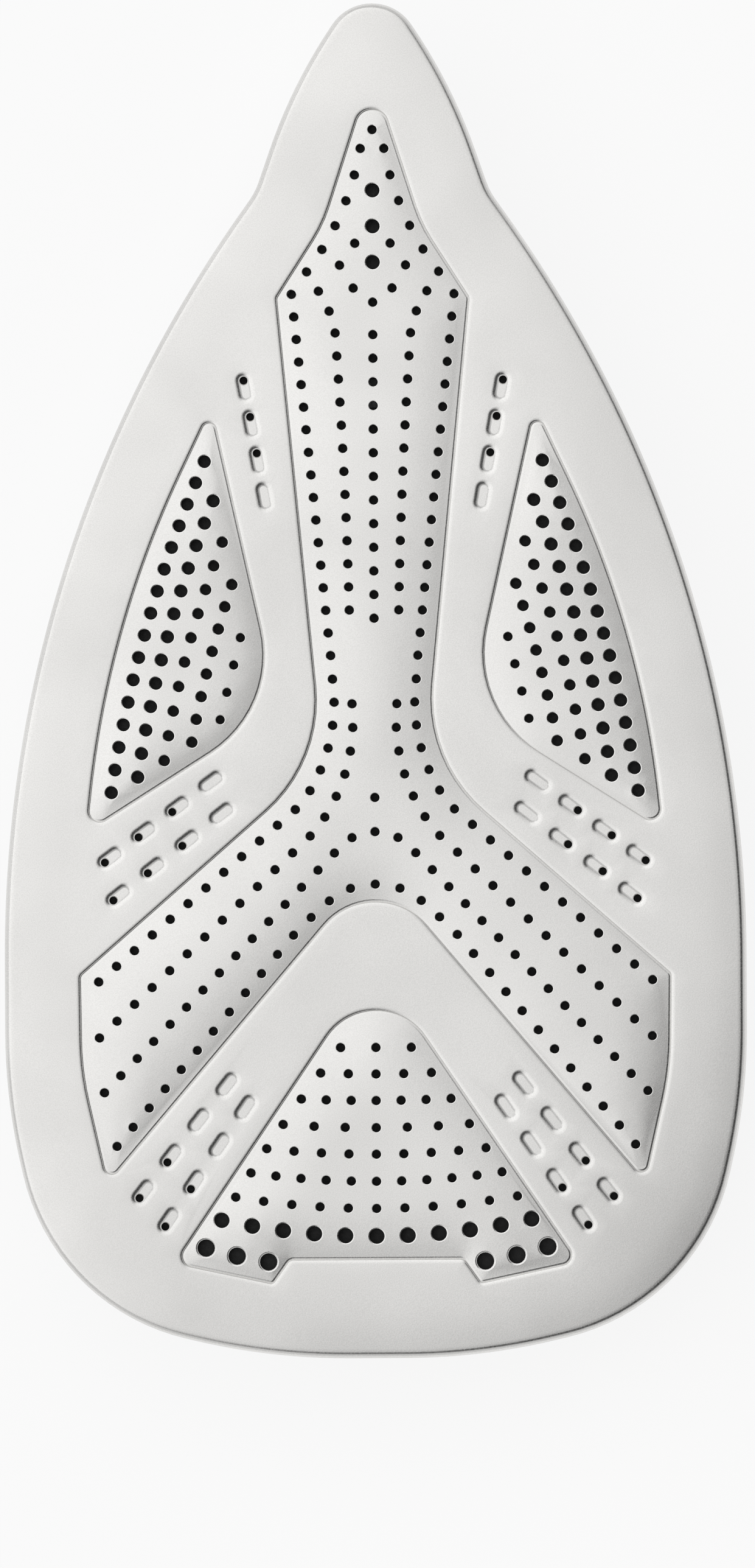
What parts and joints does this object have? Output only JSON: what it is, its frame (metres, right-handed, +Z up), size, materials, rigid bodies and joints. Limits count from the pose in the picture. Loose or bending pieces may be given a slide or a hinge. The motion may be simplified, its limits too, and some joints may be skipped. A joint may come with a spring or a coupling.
{
  "type": "steam iron soleplate",
  "caption": "Pointed steam iron soleplate: perforated stainless skin hemmed over an aluminium casting with cast-in heater, steam chamber and fixing pillars.",
  "frame": {"origin": "centre of the outline in plan, at the level of the pillar ends it lies on", "axes": "+Z up through the ironing face, +Y toward the nose, +X to the right seen from above with the nose away"},
  "size_m": [0.126, 0.23, 0.028],
  "materials": {
    "bead_blasted_stainless": "fine bead-blasted satin",
    "cast_aluminium": "as cast, matt",
    "heater_sheath_steel": "dull, heat-darkened",
    "plated_steel": "bright plated",
    "ceramic": "unglazed off-white",
    "aluminium_sheet": "pressed, mill finish",
    "silicone": "brick-red matt silicone",
    "screw_steel": "zinc plated",
    "tinned_brass": "tin plated",
    "fuse_case": "drawn, bright",
    "glass_fibre": "varnished braid",
    "spring_steel": "bright strip"
  },
  "bodies": {
    "root": {"sole_skin": "bead_blasted_stainless", "plate_casting": "cast_aluminium", "heater_rod": "heater_sheath_steel", "heater_pin_left": "plated_steel", "heater_pin_right": "plated_steel", "heater_bead_left": "ceramic", "heater_bead_right": "ceramic", "heater_blade_left": "plated_steel", "heater_blade_right": "plated_steel", "chamber_cover": "aluminium_sheet", "chamber_seal": "silicone", "cover_screws": "screw_steel", "water_inlet_seal": "silicone", "boost_inlet_seal": "silicone", "earth_tab": "tinned_brass", "earth_screw": "screw_steel", "thermal_fuse": "fuse_case", "fuse_sleeve": "glass_fibre", "fuse_clip": "spring_steel", "fuse_clip_screw": "screw_steel"}
  },
  "joints": []
}
